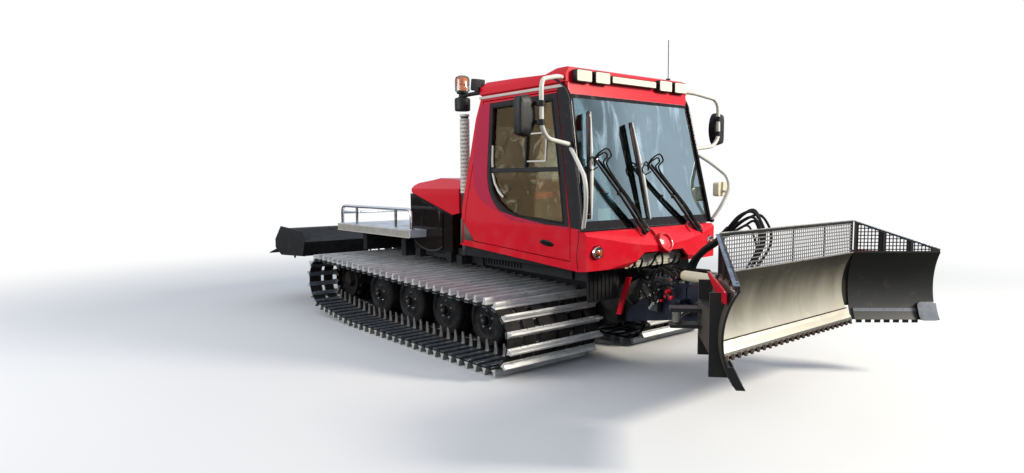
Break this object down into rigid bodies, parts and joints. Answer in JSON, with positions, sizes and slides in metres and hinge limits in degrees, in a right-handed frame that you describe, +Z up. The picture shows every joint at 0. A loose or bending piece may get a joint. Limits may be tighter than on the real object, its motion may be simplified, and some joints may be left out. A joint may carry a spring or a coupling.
{
  "type": "snowcat groomer",
  "caption": "Compact tracked snow groomer with a glazed cab, engine hood, cargo bed, folding-wing front blade and raised rear tiller.",
  "frame": {"origin": "on the ground under the middle of the whole machine, blade to tiller", "axes": "+X forward, +Y to the machine's left, +Z up"},
  "size_m": [7.7378, 3.1612, 3.063],
  "materials": {
    "red_paint": "gloss",
    "black_steel": "satin",
    "blue_black_steel": "satin",
    "black_gloss": "gloss",
    "track_alloy": "worn",
    "wheel_rubber": "matt",
    "engine_iron": "matt",
    "cab_glass": "clear",
    "seat_cloth": "woven",
    "grey_plastic": "grained",
    "black_plastic": "grained",
    "bright_steel": "bright",
    "lamp_glass": "clear",
    "bed_alloy": "tread plate",
    "rod_chrome": "polished",
    "blade_steel": "scraped",
    "hose_rubber": "matt"
  },
  "bodies": {
    "vehicle": {"chassis_tub": "black_steel", "wheel_arms": "black_steel", "track_wheels": "wheel_rubber", "drive_sprockets": "black_steel", "track_left": "track_alloy", "track_right": "track_alloy", "engine_block": "engine_iron", "hood_sides": "black_gloss", "cab_floor": "black_steel", "cab_frame": "red_paint", "cab_roof": "red_paint", "front_cowl": "red_paint", "cab_glass": "cab_glass", "seats": "seat_cloth", "dash_console": "grey_plastic", "wipers": "black_plastic", "mirrors": "bright_steel", "lamps": "lamp_glass", "aerial": "black_plastic", "beacon_post": "black_plastic", "exhaust_stack": "bright_steel", "cargo_bed": "bed_alloy", "bed_rail": "bright_steel"},
    "hood_lid": {"hood_lid": "red_paint"},
    "door_left": {"door_left": "red_paint", "door_glass_left": "cab_glass"},
    "door_right": {"door_right": "red_paint", "door_glass_right": "cab_glass"},
    "push_frame": {"push_frame": "blue_black_steel", "blade_hoses": "hose_rubber"},
    "lift_barrels": {"lift_barrels": "black_steel"},
    "lift_rods": {"lift_rods": "rod_chrome"},
    "angle_barrel_left": {"angle_barrel_left": "black_steel"},
    "angle_barrel_right": {"angle_barrel_right": "black_steel"},
    "angle_rod_left": {"angle_rod_left": "rod_chrome"},
    "angle_rod_right": {"angle_rod_right": "rod_chrome"},
    "blade": {"blade_middle": "blade_steel", "blade_screen": "blade_steel"},
    "wing_left": {"wing_left": "blade_steel"},
    "wing_right": {"wing_right": "blade_steel"},
    "wing_barrel_left": {"wing_barrel_left": "black_steel"},
    "wing_barrel_right": {"wing_barrel_right": "black_steel"},
    "wing_rod_left": {"wing_rod_left": "rod_chrome"},
    "wing_rod_right": {"wing_rod_right": "rod_chrome"},
    "tiller_carrier": {"rear_lift_frame": "black_steel"},
    "tiller": {"tiller_hood": "black_steel", "tiller_finisher": "black_plastic"},
    "tiller_shaft": {"tiller_shaft": "blade_steel"},
    "tiller_barrels": {"tiller_barrels": "black_steel"},
    "tiller_rods": {"tiller_rods": "rod_chrome"}
  },
  "joints": [
    {"name": "door_left", "type": "hinge", "parent": "vehicle", "child": "door_left", "pos_m": [0.3, 0.9, 1.3], "axis": [0, 0, 1], "range_deg": [0, 70]},
    {"name": "door_right", "type": "hinge", "parent": "vehicle", "child": "door_right", "pos_m": [0.3, -0.9, 1.3], "axis": [0, 0, -1], "range_deg": [0, 70]},
    {"name": "hood_lid", "type": "hinge", "parent": "vehicle", "child": "hood_lid", "pos_m": [-0.89, 0, 1.551], "axis": [0, -1, 0], "range_deg": [0, 60]},
    {"name": "blade_lift", "type": "hinge", "parent": "vehicle", "child": "push_frame", "pos_m": [1.96, 0, 0.47], "axis": [0, -1, 0], "range_deg": [-13.5, 8]},
    {"name": "lift_barrels", "type": "hinge", "parent": "vehicle", "child": "lift_barrels", "pos_m": [1.98, 0, 0.85], "axis": [0, -1, 0], "range_deg": [-14.05, 8.41]},
    {"name": "lift_rods", "type": "slide", "parent": "lift_barrels", "child": "lift_rods", "axis": [0.9997, 0, 0.0227], "range_m": [-0.0555, 0.0923]},
    {"name": "blade_angle", "type": "hinge", "parent": "push_frame", "child": "blade", "pos_m": [3.01, 0, 0.65], "axis": [0, 0, 1], "range_deg": [-15, 15]},
    {"name": "angle_barrel_left", "type": "hinge", "parent": "push_frame", "child": "angle_barrel_left", "pos_m": [2.56, 0.34, 0.64], "axis": [0, 0, 1], "range_deg": [-5.01, 5.01]},
    {"name": "angle_rod_left", "type": "slide", "parent": "angle_barrel_left", "child": "angle_rod_left", "axis": [0.9873, 0.1587, 0], "range_m": [-0.111, 0.111]},
    {"name": "angle_barrel_right", "type": "hinge", "parent": "push_frame", "child": "angle_barrel_right", "pos_m": [2.56, -0.34, 0.64], "axis": [0, 0, 1], "range_deg": [-5.01, 5.01]},
    {"name": "angle_rod_right", "type": "slide", "parent": "angle_barrel_right", "child": "angle_rod_right", "axis": [0.9873, -0.1587, 0], "range_m": [-0.111, 0.111]},
    {"name": "wing_left", "type": "hinge", "parent": "blade", "child": "wing_left", "pos_m": [3.369, 0.98, 0.769], "axis": [0, 0, -1], "range_deg": [-42, 12]},
    {"name": "wing_barrel_left", "type": "hinge", "parent": "blade", "child": "wing_barrel_left", "pos_m": [3, 0.42, 0.8], "axis": [0, 0, -1], "range_deg": [-12.9, 3.83]},
    {"name": "wing_rod_left", "type": "slide", "parent": "wing_barrel_left", "child": "wing_rod_left", "axis": [0.2942, 0.9558, 0], "range_m": [-0.1796, 0.0527]},
    {"name": "wing_right", "type": "hinge", "parent": "blade", "child": "wing_right", "pos_m": [3.369, -0.98, 0.769], "axis": [0, 0, 1], "range_deg": [-42, 12]},
    {"name": "wing_barrel_right", "type": "hinge", "parent": "blade", "child": "wing_barrel_right", "pos_m": [3, -0.42, 0.8], "axis": [0, 0, 1], "range_deg": [-12.9, 3.83]},
    {"name": "wing_rod_right", "type": "slide", "parent": "wing_barrel_right", "child": "wing_rod_right", "axis": [0.2942, -0.9558, 0], "range_m": [-0.1796, 0.0527]},
    {"name": "tiller_lift", "type": "hinge", "parent": "vehicle", "child": "tiller_carrier", "pos_m": [-2.27, 0, 0.48], "axis": [0, 1, 0], "range_deg": [-20, 6]},
    {"name": "tiller_barrels", "type": "hinge", "parent": "vehicle", "child": "tiller_barrels", "pos_m": [-2.23, 0, 0.96], "axis": [0, 1, 0], "range_deg": [-15.62, 4.83]},
    {"name": "tiller_rods", "type": "slide", "parent": "tiller_barrels", "child": "tiller_rods", "axis": [-0.9969, 0, -0.0793], "range_m": [-0.0516, 0.1673]},
    {"name": "tiller_tilt", "type": "hinge", "parent": "tiller_carrier", "child": "tiller", "pos_m": [-2.73, 0, 0.815], "axis": [0, -1, 0], "range_deg": [-18, 4]},
    {"name": "tiller_shaft", "type": "hinge", "parent": "tiller", "child": "tiller_shaft", "pos_m": [-3.06, 0, 0.815], "axis": [0, 1, 0], "continuous": true}
  ],
  "couplings": [
    {"joint": "lift_barrels", "follows": "blade_lift", "ratio": 1.0057},
    {"joint": "lift_rods", "follows": "blade_lift", "m_per_rad": -0.37554},
    {"joint": "angle_barrel_left", "follows": "blade_angle", "ratio": 0.3145},
    {"joint": "angle_rod_left", "follows": "blade_angle", "m_per_rad": -0.40808},
    {"joint": "angle_barrel_right", "follows": "blade_angle", "ratio": 0.3145},
    {"joint": "angle_rod_right", "follows": "blade_angle", "m_per_rad": 0.40808},
    {"joint": "wing_barrel_left", "follows": "wing_left", "ratio": 0.2965},
    {"joint": "wing_rod_left", "follows": "wing_left", "m_per_rad": 0.23749},
    {"joint": "wing_barrel_right", "follows": "wing_right", "ratio": 0.2965},
    {"joint": "wing_rod_right", "follows": "wing_right", "m_per_rad": 0.23749},
    {"joint": "tiller_barrels", "follows": "tiller_lift", "ratio": 0.7561},
    {"joint": "tiller_rods", "follows": "tiller_lift", "m_per_rad": -0.46429}
  ]
}
